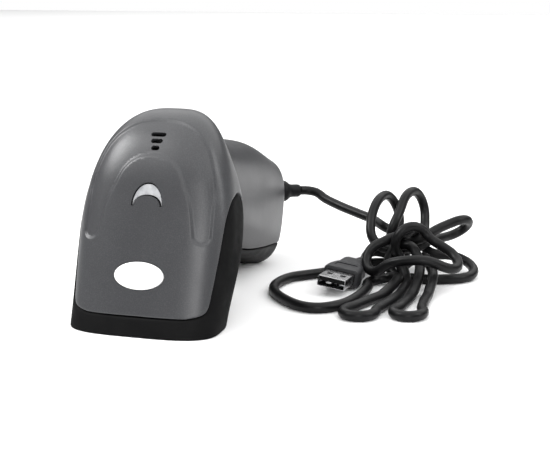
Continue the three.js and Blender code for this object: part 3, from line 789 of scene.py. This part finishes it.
CRESCENT_AT = 42.5
CRESCENT_WIDTH = 6.3
CRESCENT_HEIGHT = 9
CRESCENT_INNER_WIDTH = 5.2
CRESCENT_INNER_HEIGHT = 4


def crescent_outline(trim=0, count=40):
    base = CRESCENT_AT + trim
    t = np.linspace(0, math.pi, count)
    outer = np.stack(
        [(CRESCENT_WIDTH - trim) * np.cos(t), base + (CRESCENT_HEIGHT - 2 * trim) * np.sin(t)], 1
    )
    inner = np.stack(
        [(CRESCENT_INNER_WIDTH + trim) * np.cos(t), base + CRESCENT_INNER_HEIGHT * np.sin(t)], 1
    )
    return np.vstack([outer, inner[::-1]])


def cylinder(name, radius, low, high, place, count=40):
    t = np.linspace(0, 2 * math.pi, count, endpoint=False)
    return prism(name, np.stack([radius * np.cos(t), radius * np.sin(t)], 1), low, high, place)


BADGE_HALF_WIDTH = 10.1
BADGE_HALF_HEIGHT = 5.5
BADGE_AT = 16.4
SLOTS = [(60.9, 3.3), (63, 4.8), (65.1, 6.1)]  # place along the spine, width
SLOT_HEIGHT = 2.0
TRIGGER_WIDTH = 12
HOUSING_SCREWS = [(18.9, 42.3), (20.7, 62.6)]
GLAND_PLACE = (6.5, 137.8 - BODY_SHIFT, 30.5)
GLAND_TURN = math.radians(52)
GLAND_DIP = math.radians(2)


def along_gland(a, b, z):
    out = np.array(
        [
            math.sin(GLAND_TURN) * math.cos(GLAND_DIP),
            math.cos(GLAND_TURN) * math.cos(GLAND_DIP),
            -math.sin(GLAND_DIP),
        ]
    )
    across = np.array([math.cos(GLAND_TURN), -math.sin(GLAND_TURN), 0])
    up = np.cross(across, out)
    return np.array(GLAND_PLACE) + np.outer(a, across) + np.outer(b, up) + np.outer(z, out)


def in_handle(y, z):
    """Places a rod that stands across the handle's axis, at its (y, z)."""
    return lambda a, b, height: from_handle(a, y + height, z + b)


def in_channel_wall(p):
    s, n = spine_coordinates(p)
    return (np.abs(channel_distance(p[:, 0], s)) < CHANNEL_WALL * 0.8) & (n > 0) & (s > 20)


def full_body():
    outer = head_loft("body", 280, 150)
    combine(outer, handle_loft("handle", 220, 110), "UNION")
    neck = lambda p: np.abs(head_field(p) - handle_field(p)) < NECK_FILLET
    refine(outer, neck, 1.0)
    refine(outer, neck, 1.0)
    refine(outer, in_channel_wall, 0.4)
    p = places(outer.data)
    s, n = spine_coordinates(p)
    moved = neck(p) | ((channel_distance(p[:, 0], s) < CHANNEL_WALL) & (n > 0) & (s > 20))
    p[moved] = project(body_field, p[moved])
    put(outer.data, p)
    return outer


def inner_body():
    inner = head_loft("hollow", 90, 50, WALL)
    return combine(inner, handle_loft("handle_hollow", 80, 40, WALL), "UNION")


def trigger_way():
    half = TRIGGER_WIDTH / 2 + 0.4
    return box_solid("way", (-half, 10.9, 3.7), (half, 25.9, 34.1), lambda p: from_handle(*p.T))


def make_housings():
    outer = full_body()
    inner = inner_body()
    floor = box_solid("floor_cut", (-100, -150, -60), (100, 150, 0))
    combine(outer, floor, "DIFFERENCE")

    upper = copy_of(outer, "grey_housing")
    combine(upper, side_prism("cut", upper_outline()), "INTERSECT")
    combine(upper, inner, "DIFFERENCE", keep=True)
    face = on_face()
    badge = ellipse(BADGE_HALF_WIDTH, BADGE_HALF_HEIGHT, BADGE_AT)
    combine(upper, prism("recess", badge, HEAD_HALF_DEPTH - 0.8, 30, face), "DIFFERENCE")
    combine(upper, prism("horns", crescent_outline(), HEAD_HALF_DEPTH - 5, 30, face), "DIFFERENCE")
    for s, width in SLOTS:
        cut = prism("slot", slot_outline(width, SLOT_HEIGHT), 12, 26, on_face(s))
        combine(upper, cut, "DIFFERENCE")
    combine(upper, trigger_way(), "DIFFERENCE")
    combine(upper, cylinder("gland_hole", 3.9, -12, 12, along_gland), "DIFFERENCE")
    line = upper_outline()
    finish_edges(upper, [lambda p: outline_distance(line, p)])

    bumper = copy_of(outer, "rubber_bumper")
    combine(bumper, side_prism("cut", bumper_outline()), "INTERSECT")
    combine(bumper, side_prism("cut", upper_outline(GAP)), "DIFFERENCE")
    combine(bumper, inner, "DIFFERENCE", keep=True)
    edge, top = bumper_outline(), upper_outline(GAP)
    finish_edges(
        bumper,
        [
            lambda p: np.maximum(outline_distance(edge, p), -outline_distance(top, p)),
            lambda p: -p[:, 2],
        ],
    )

    lower = copy_of(outer, "black_housing")
    combine(lower, side_prism("cut", upper_outline(GAP)), "DIFFERENCE")
    combine(lower, side_prism("cut", bumper_outline(GAP)), "DIFFERENCE")
    combine(lower, inner, "DIFFERENCE")
    combine(lower, trigger_way(), "DIFFERENCE")
    for y, z in HOUSING_SCREWS:
        boss = cylinder("boss", 4, -5.5, 3.5, in_handle(y - 1, z))
        combine(boss, outer, "INTERSECT", keep=True)
        combine(lower, boss, "UNION")
        combine(lower, cylinder("well", 2.6, -2.1, 11.9, in_handle(y, z)), "DIFFERENCE")
        combine(lower, cylinder("bore", 1.6, -15, 15, in_handle(y, z)), "DIFFERENCE")
    low_edge = bumper_outline(GAP)
    finish_edges(
        lower,
        [
            lambda p: -np.minimum(outline_distance(top, p), outline_distance(low_edge, p)),
            lambda p: -p[:, 2],
        ],
    )
    gland = make_gland(outer)
    bpy.data.objects.remove(outer)
    for piece, node, slot in (
        (upper, "upper_housing", "grey_plastic"),
        (bumper, "nose_bumper", "bumper_rubber"),
        (lower, "lower_housing", "black_plastic"),
    ):
        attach(piece, BODY)
        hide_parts(node)
    return upper, bumper, lower, gland


# ---------------------------------------------------------------- small pieces
def stacked(name, rings, place):
    """A solid through outlines of equal length, each (outline, height)."""
    count = len(rings[0][0])
    points = np.concatenate([place(*np.array(o, float).T, np.full(count, float(h))) for o, h in rings])
    faces = [tuple(range(count)), tuple(range(len(points) - count, len(points)))]
    for i in range(len(rings) - 1):
        for j in range(count):
            k = (j + 1) % count
            a, b = i * count, (i + 1) * count
            faces.append((a + j, a + k, b + k, b + j))
    return new_object(name, points, faces)


def smooth(obj, angle=35):
    """Smooth shading that keeps the edges sharper than the angle."""
    bm = bmesh.new()
    bm.from_mesh(obj.data)
    bmesh.ops.triangulate(bm, faces=[f for f in bm.faces if len(f.verts) > 4])
    for face in bm.faces:
        face.smooth = True
    for edge in bm.edges:
        edge.smooth = edge.calc_face_angle(0) < math.radians(angle)
    bm.to_mesh(obj.data)
    bm.free()
    return obj


def rounded_outline(half_width, half_height, corner, count=6):
    """A rectangle with round corners, four arcs of points."""
    corner = min(corner, half_width, half_height)
    t = np.linspace(0, math.pi / 2, count)
    arc = corner * np.stack([np.cos(t), np.sin(t)], 1)
    out = []
    for turn, cx, cy in ((0, 1, 1), (1, -1, 1), (2, -1, -1), (3, 1, -1)):
        c, s = math.cos(turn * math.pi / 2), math.sin(turn * math.pi / 2)
        centre = (cx * (half_width - corner), cy * (half_height - corner))
        out.append(arc @ np.array([[c, s], [-s, c]]) + centre)
    return np.vstack(out)


def make_badge():
    """The blank oval badge, a shallow dome with a soft edge. Each step is (trim, height)."""
    steps = [
        (0.3, 17.65),
        (0.3, 18.3),
        (0.38, 18.45),
        (0.6, 18.55),
        (1.4, 18.66),
        (2.8, 18.74),
        (4.4, 18.78),
    ]
    rings = [
        (ellipse(BADGE_HALF_WIDTH - trim, BADGE_HALF_HEIGHT - trim, BADGE_AT), height)
        for trim, height in steps
    ]
    badge = stacked("oval_badge", rings, on_face())
    return finish_piece(smooth(badge), "badge")


def make_lens():
    """The crescent lens: it sits a little below the face, with a groove round it."""
    steps = [(0.42, 15), (0.42, 17.55), (0.47, 17.8), (0.52, 17.9)]
    rings = [(crescent_outline(trim), height) for trim, height in steps]
    lens = stacked("crescent_lens", rings, on_face())
    return finish_piece(smooth(lens), "indicator_lens")


def finish_piece(obj, node):
    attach(obj, BODY)
    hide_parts(node)
    return obj


def turned(name, profile, place, count=48):
    """A solid of revolution: profile is (radius, along)."""
    t = np.linspace(0, 2 * math.pi, count, endpoint=False)
    rings = [
        (np.stack([radius * np.cos(t), radius * np.sin(t)], 1), along) for radius, along in profile
    ]
    return stacked(name, rings, place)


def make_gland(body):
    profile = [
        (5.4, -9),
        (5.4, 7.2),
        (5.9, 7.9),
        (6, 8.9),
        (5.8, 9.7),
        (5.3, 10.2),
        (5.05, 10.7),
        (5.1, 11.4),
        (4.9, 12.4),
        (4.3, 13.4),
        (3.7, 14.1),
        (3.25, 14.8),
        (3.05, 15.8),
        (3.05, 18.6),
        (2.9, 19.5),
        (2.5, 20),
    ]
    gland = turned("cord_gland", profile, along_gland)
    combine(gland, body, "DIFFERENCE", keep=True)
    combine(gland, turned("stem", [(3.6, -5), (3.6, 9)], along_gland), "UNION")
    return finish_piece(smooth(gland), "cable_gland")


# The plug's frame: across, up, and out of its mouth.
PLUG_MOUTH = (56.7, 4.4, 6)
PLUG_TURN = Matrix.Rotation(math.radians(-5.2), 3, "Z") @ Matrix.Rotation(
    math.radians(7.8), 3, "Y"
) @ Matrix.Rotation(math.radians(90 - 1.5), 3, "X")


def along_plug(x, y, z):
    """Places (across, up, behind the mouth)."""
    return np.stack([x, y, -np.asarray(z)], 1) @ np.array(PLUG_TURN).T + PLUG_MOUTH


def make_overmould():
    """A grip that narrows to the rear, a second one behind it, and a ribbed strain relief."""
    front = [
        (12.0, 7.2, 3.5, 1.6),
        (12.25, 7.6, 3.85, 1.8),
        (12.7, 7.8, 4.0, 1.9),
        (17.5, 7.75, 4.0, 1.9),
        (20.5, 7.3, 4.0, 1.9),
        (23.6, 6.3, 3.95, 1.8),
        (24.6, 6.0, 3.85, 1.7),
        (25.0, 5.6, 3.5, 1.5),
    ]
    rear = [
        (24.2, 5.3, 3.9, 1.6),
        (25.6, 5.5, 4.15, 1.7),
        (26.2, 5.6, 4.2, 1.8),
        (30.8, 5.5, 4.2, 1.8),
        (32.4, 5.1, 4.05, 1.8),
        (33.2, 4.6, 3.7, 1.7),
        (33.5, 4.1, 3.3, 1.6),
    ]
    relief = [(32.5, 3.3, 3.1, 3.0)]
    for i in range(4):
        z = 33.9 + 2 * i
        size = 3.45 - 0.2 * i
        neck = size - 0.65
        relief += [
            (z, neck, neck, 3.4),
            (z + 0.15, size - 0.15, size - 0.15, 3.4),
            (z + 0.4, size, size, 3.4),
            (z + 1.0, size, size, 3.4),
            (z + 1.25, size - 0.15, size - 0.15, 3.4),
            (z + 1.4, neck, neck, 3.4),
        ]
    relief += [(42.0, 2.6, 2.6, 2.6)]
    loft = lambda name, rows: stacked(
        name, [(rounded_outline(w, h, c, 8), z) for z, w, h, c in rows], along_plug
    )
    plug = loft("plug_grip", front)
    combine(plug, loft("rear_grip", rear), "UNION")
    combine(plug, loft("relief", relief), "UNION")
    socket = prism("socket", rounded_outline(6.2, 2.45, 0.6), 10, 17.3, along_plug)
    combine(plug, socket, "DIFFERENCE")
    panel = prism("panel", rounded_outline(4.6, 2.6, 1.0), 3.65, 6, on_grip)
    combine(plug, panel, "DIFFERENCE")
    return finish_piece(smooth(plug), "usb_overmould")


def on_grip(x, along, height):
    return along_plug(x, height, along + 18.2)


def make_shell():
    """The plug's shell of bent sheet, with its two latch windows on each broad side."""
    sheet = [(0.0, 5.9, 2.15), (0.12, 6.0, 2.25), (17.0, 6.0, 2.25)]
    shell = stacked(
        "plug_shell", [(rounded_outline(w, h, 0.55), z) for z, w, h in sheet], along_plug
    )
    hollow = [(-1, 5.8, 2.05), (0.05, 5.75, 2.0), (0.3, 5.65, 1.9), (13.0, 5.65, 1.9)]
    inside = stacked(
        "hollow", [(rounded_outline(w, h, 0.35), z) for z, w, h in hollow], along_plug
    )
    combine(shell, inside, "DIFFERENCE")
    for side in (-1, 1):
        window = box_solid(
            "latch",
            (side * 2.9 - 1.15, -4, 4.8),
            (side * 2.9 + 1.15, 4, 7.2),
            lambda p: along_plug(*p.T),
        )
        combine(shell, window, "DIFFERENCE")
    return finish_piece(smooth(shell), "usb_shell")


# ---------------------------------------------------------------- cord
CORD_DIAMETER = 4.3
CORD_STEP = 2.0  # spacing of the cord's points
FOLD_RADIUS = 8.6  # bends tighter than this push to open, as far as their neighbours let them
PRESS = 0.1  # strands push off each other from this much before they touch
NEIGHBOURS = 5  # points this close along the cord don't push each other
HOLD = 0.006  # how strongly the cord stays where it was laid
SINK = 0.012  # how far it sinks each round, where nothing holds it up

LEAD = [
    (22.6, 80.6, 29.8),
    (25.8, 83, 29.5),
    (31, 82.8, 28.7),
    (37, 80.2, 27.4),
    (43.5, 76.7, 25.8),
    (50.6, 73, 24.4),
    (56, 70, 23.4),
    (60.4, 67.4, 22.7),
]
HANK = [
    # into the knot, then the loop to the right
    (66, 61, 21.5), (74, 53, 19.5), (82, 50, 19), (89, 53, 21), (97, 60, 24),
    (104, 67, 24.5), (104.5, 73, 21), (97, 70, 17.5), (88, 60, 15),
    # the first loop that leans back on the others
    (78, 50, 13.5), (70, 47, 14), (64.6, 48, 18.5), (63, 53, 25), (63.6, 62, 31.5),
    (65.6, 72, 33), (69, 79, 28.5), (71.6, 76, 21), (72.6, 66, 15),
    # the second
    (72.8, 56, 13), (73.6, 53, 19), (74.8, 57, 27), (76.2, 65, 34.5), (79, 75, 35),
    (82, 80, 28.5), (83.6, 76, 20), (85, 64, 15),
    # the low loop to the right
    (88, 58, 11.5), (96, 62, 9.6), (105, 60.5, 7.2), (109.4, 52, 5), (106, 43, 3.4),
    (97, 38, 2.8), (88, 36, 3.4), (79, 38, 4.6),
    # two long loops to the front
    (73.4, 42.4, 8.6), (75, 44.6, 14.4), (83, 41.4, 16.4), (89, 31, 12), (90, 15, 6),
    (89, 0, 3), (88.4, -10, 2.15), (88.8, -19, 2.15), (92, -24.4, 2.15), (96.4, -19.4, 2.15),
    (96.6, -9, 2.15), (96, 2, 2.6), (96, 14, 5.5), (95.4, 27, 9), (91, 38, 11),
    (83.4, 48, 10.4), (78.4, 47.4, 7.4), (80.8, 38.4, 5.2), (84.6, 26, 5), (84.6, 12, 4), (83, -2, 2.6),
    (80.4, -14, 2.15), (77.6, -24, 2.15), (72.8, -29.6, 2.15), (69.4, -24.6, 2.15),
    (70.8, -14, 2.15), (74.6, -3, 2.6), (78.2, 6, 4.4), (80.4, 16, 6), (80, 25, 6.4),
    (76.4, 31, 5.6), (71.4, 30.4, 3.8),
]
FLOOR_LOOP = [
    (69.4, 24.4, 2.4),
    (69.8, 14, 2.2),
    (69, 2, 2.2),
    (66.2, -10.4, 2.2),
    (62, -17, 2.2),
    (56.5, -20.4, 2.2),
    (49.5, -19, 2.2),
    (41, -11.5, 2.2),
    (34.8, -3, 2.2),
    (31.9, 5, 2.2),
    (31.6, 14, 2.2),
    (34.4, 23.4, 2.2),
    (40.5, 30, 2.2),
    (46.6, 36, 2.2),
    (51, 43.6, 2.2),
    (55, 51.4, 2.2),
    (61, 57.6, 2.2),
]
WRAP = [
    # once round the bundle, then a small upright loop, and out to the plug
    (68, 61, 4), (76, 62, 8), (84, 56, 17), (82, 47, 21), (74, 39, 20), (66.6, 35, 15.4),
    (65, 31, 9.6), (69, 27, 8), (76, 24, 12.5), (84, 22.5, 15), (93, 23, 15.4), (101, 26, 12.6),
    (105.4, 32, 11), (102.6, 38, 14.6), (95, 41, 19), (88.5, 43, 22), (84, 40, 26.5),
    (79, 36, 24.5), (77, 38, 18), (77.6, 44, 12), (76, 52, 7.6), (71.5, 58, 7.2), (67, 60, 9),
]
TAIL = [
    (63, 57.6, 10.2),
    (62, 55.6, 9),
    (61.3, 53.4, 7.3),
    (60.8, 50.4, 5.5),
    (60.4, 46.9, 4.9),
]


def catmull_rom(points, per_span=12):
    """Points along a centripetal spline through the given ones."""
    p = np.array(points, float)
    p = np.vstack([2 * p[0] - p[1], p, 2 * p[-1] - p[-2]])
    out = []
    for a, b, c, d in zip(p[:-3], p[1:-2], p[2:-1], p[3:]):
        t1 = np.linalg.norm(b - a) ** 0.5
        t2 = t1 + np.linalg.norm(c - b) ** 0.5
        t3 = t2 + np.linalg.norm(d - c) ** 0.5
        for t in np.linspace(t1, t2, per_span, endpoint=False):
            ab = a * (t1 - t) / t1 + b * t / t1
            bc = b * (t2 - t) / (t2 - t1) + c * (t - t1) / (t2 - t1)
            cd = c * (t3 - t) / (t3 - t2) + d * (t - t2) / (t3 - t2)
            abc = ab * (t2 - t) / t2 + bc * t / t2
            bcd = bc * (t3 - t) / (t3 - t1) + cd * (t - t1) / (t3 - t1)
            out.append(abc * (t2 - t) / (t2 - t1) + bcd * (t - t1) / (t2 - t1))
    out.append(p[-2])
    return np.array(out)


def resample(path, step):
    reach = np.concatenate([[0], np.cumsum(np.linalg.norm(np.diff(path, axis=0), axis=1))])
    count = int(round(reach[-1] / step)) + 1
    at = np.linspace(0, reach[-1], count)
    return np.stack([np.interp(at, reach, path[:, k]) for k in range(3)], 1)


PLUG_FRONT = (57.9, 17.0, 5.9)
PLUG_BACK = (60.2, 44.5, 4.9)
PLUG_RADII = (7.2, 5.4, 2.8)  # at its front, half way along and at its back


def plug_spheres(count=12):
    """Centres and radii of balls that fill the plug, which the cord keeps clear of."""
    share = np.linspace(0, 1, count)
    front, back = np.array(PLUG_FRONT), np.array(PLUG_BACK)
    return front + (back - front) * share[:, None], np.interp(share, (0, 0.5, 1), PLUG_RADII)


def settle(path, rounds=500):
    """Lets a drawn route relax into what a limp cord does: it pushes off itself, the floor and the
    plug, opens its tight bends and sinks, while it stays near where it was laid."""
    x = path.copy()
    n = len(x)
    home = path.copy()
    hold = np.full((n, 1), HOLD)
    hold[:5] = hold[-4:] = 1  # its two ends are fixed
    index = np.arange(n)
    far = np.abs(index[:, None] - index[None, :]) > NEIGHBOURS
    centres, radii = plug_spheres()
    for _ in range(rounds):
        x += (home - x) * hold
        x[:, 2] -= SINK
        for k in (1, 2, 3):
            middle = (x[: -2 * k] + x[2 * k :]) / 2 - x[k:-k]
            sag = np.linalg.norm(middle, axis=1, keepdims=True)
            limit = (k * CORD_STEP) ** 2 / (2 * FOLD_RADIUS)
            push = middle * np.clip(1 - limit / np.maximum(sag, 1e-6), 0, 1) * 0.3
            x[k:-k] += push
            x[: -2 * k] -= push / 2
            x[2 * k :] -= push / 2
        gap = np.diff(x, axis=0)
        size = np.linalg.norm(gap, axis=1, keepdims=True)
        pull = gap * (size - CORD_STEP) / size * 0.45
        x[:-1] += pull * 0.5
        x[1:] -= pull * 0.5
        apart = x[:, None] - x[None]
        distance = np.linalg.norm(apart, axis=2) + 1e-9
        close = np.where(far, np.clip((CORD_DIAMETER + PRESS) / distance - 1, 0, None), 0)
        x += (apart * close[..., None]).sum(1) * 0.3
        off = x[:, None] - centres[None]
        distance = np.linalg.norm(off, axis=2)
        limit = radii + CORD_DIAMETER / 2
        close = np.where(distance < limit, (limit - distance) / distance, 0)
        close[-8:] = 0  # the cord's end goes into the plug
        x += (off * close[..., None]).sum(1) * 0.4
        x[:, 2] = np.maximum(x[:, 2], CORD_DIAMETER / 2)
        x[:3] = home[:3]
        x[-3:] = home[-3:]
    return x


def tube(name, path, radius, sides=20):
    """A round tube along a path, with its rings carried along without twist and its ends closed."""
    along = np.gradient(path, axis=0)
    along /= np.linalg.norm(along, axis=1, keepdims=True)
    across = np.cross(along[0], (0, 0, 1))
    turns = np.linspace(0, 2 * math.pi, sides, endpoint=False)[:, None]
    rings = []
    for place, ahead in zip(path, along):
        across = across - ahead * (across @ ahead)
        across /= np.linalg.norm(across)
        up = np.cross(ahead, across)
        rings.append(place + radius * (np.cos(turns) * across + np.sin(turns) * up))
    return grid_solid(name, rings)


def make_cord():
    route = catmull_rom(LEAD + HANK + FLOOR_LOOP + WRAP + TAIL)
    route = settle(resample(route, CORD_STEP))
    cord = smooth(tube("cord", route, CORD_DIAMETER / 2), angle=60)
    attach(cord, BODY)
    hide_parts("cable_lead", "cable_loop", "cable_tail", "cable_hank")
    return cord, route


# ---------------------------------------------------------------- floor and lights
FLOOR_SIZE = 5.0  # metres, as all the lengths in this section are
WORLD_LOW = 0.12  # strength of the world's light at the horizon
WORLD_HIGH = 0.5  # and overhead


def make_stage():
    bpy.ops.mesh.primitive_plane_add(size=FLOOR_SIZE, location=(0, FLOOR_SIZE / 4, 0))
    floor = bpy.context.object
    floor.name = "floor"
    paper = Surface("paper", (0.93, 0.93, 0.93), 0.8, specular=0.2)
    dress(floor, paper.mottle(40, (0.92, 0.92, 0.92)).grain(1.5, 0.01, 0.2).material)


def area_light(name, place, aim, size, power):
    data = bpy.data.lights.new(name, "AREA")
    data.shape = "RECTANGLE"
    data.size, data.size_y = size
    data.energy = power
    light = bpy.data.objects.new(name, data)
    light.location = place
    light.rotation_euler = (Vector(aim) - Vector(place)).to_track_quat("-Z", "Y").to_euler()
    bpy.context.scene.collection.objects.link(light)


def light_world():
    """White to the camera. To the object it is bright overhead and dim round the horizon."""
    world = bpy.data.worlds.new("studio")
    bpy.context.scene.world = world
    world.use_nodes = True
    tree = world.node_tree
    background = tree.nodes["Background"]
    background.inputs["Color"].default_value = (1, 1, 1, 1)
    coordinates = tree.nodes.new("ShaderNodeTexCoord")
    split = tree.nodes.new("ShaderNodeSeparateXYZ")
    height = tree.nodes.new("ShaderNodeMapRange")
    height.inputs["From Min"].default_value = -0.1
    height.inputs["From Max"].default_value = 0.9
    height.inputs["To Min"].default_value = WORLD_LOW
    height.inputs["To Max"].default_value = WORLD_HIGH
    path = tree.nodes.new("ShaderNodeLightPath")
    choose = tree.nodes.new("ShaderNodeMix")
    tree.links.new(coordinates.outputs["Generated"], split.inputs["Vector"])
    tree.links.new(split.outputs["Z"], height.inputs["Value"])
    tree.links.new(path.outputs["Is Camera Ray"], choose.inputs["Factor"])
    tree.links.new(height.outputs["Result"], choose.inputs["A"])
    choose.inputs["B"].default_value = 1.0
    tree.links.new(choose.outputs["Result"], background.inputs["Strength"])


def light_scene():
    light_world()
    bpy.context.scene.view_settings.view_transform = "Standard"
    area_light("ceiling", (0, 1.2, 1.8), (0, 1.2, 0), (5, 6), 130)
    area_light("key", (-0.5, -0.2, 0.55), (0, -0.03, 0.05), (0.3, 0.3), 4.2)
    area_light("strip", (0.62, -0.02, 0.42), (0, 0, 0.05), (0.1, 0.5), 1.2)
    area_light("front", (0.3, -0.75, 0.3), (0, -0.05, 0.03), (0.3, 0.3), 2)


make_camera()
cord, cord_route = make_cord()
upper, bumper, lower, gland = make_housings()
badge, lens = make_badge(), make_lens()
overmould, shell = make_overmould(), make_shell()
dress_everything(
    [
        (upper, satin_grey()),
        (bumper, soft_rubber()),
        (lower, black_plastic()),
        (cord, cord_jacket()),
        (gland, black_plastic()),
        (badge, badge_white()),
        (lens, lens_clear()),
        (overmould, moulded_grey()),
        (shell, plated_steel()),
    ]
)
make_stage()
light_scene()

float(np.linalg.norm(np.diff(cord_route, axis=0), axis=1).sum()) * MM
[tuple(p * MM) for p in cord_route]
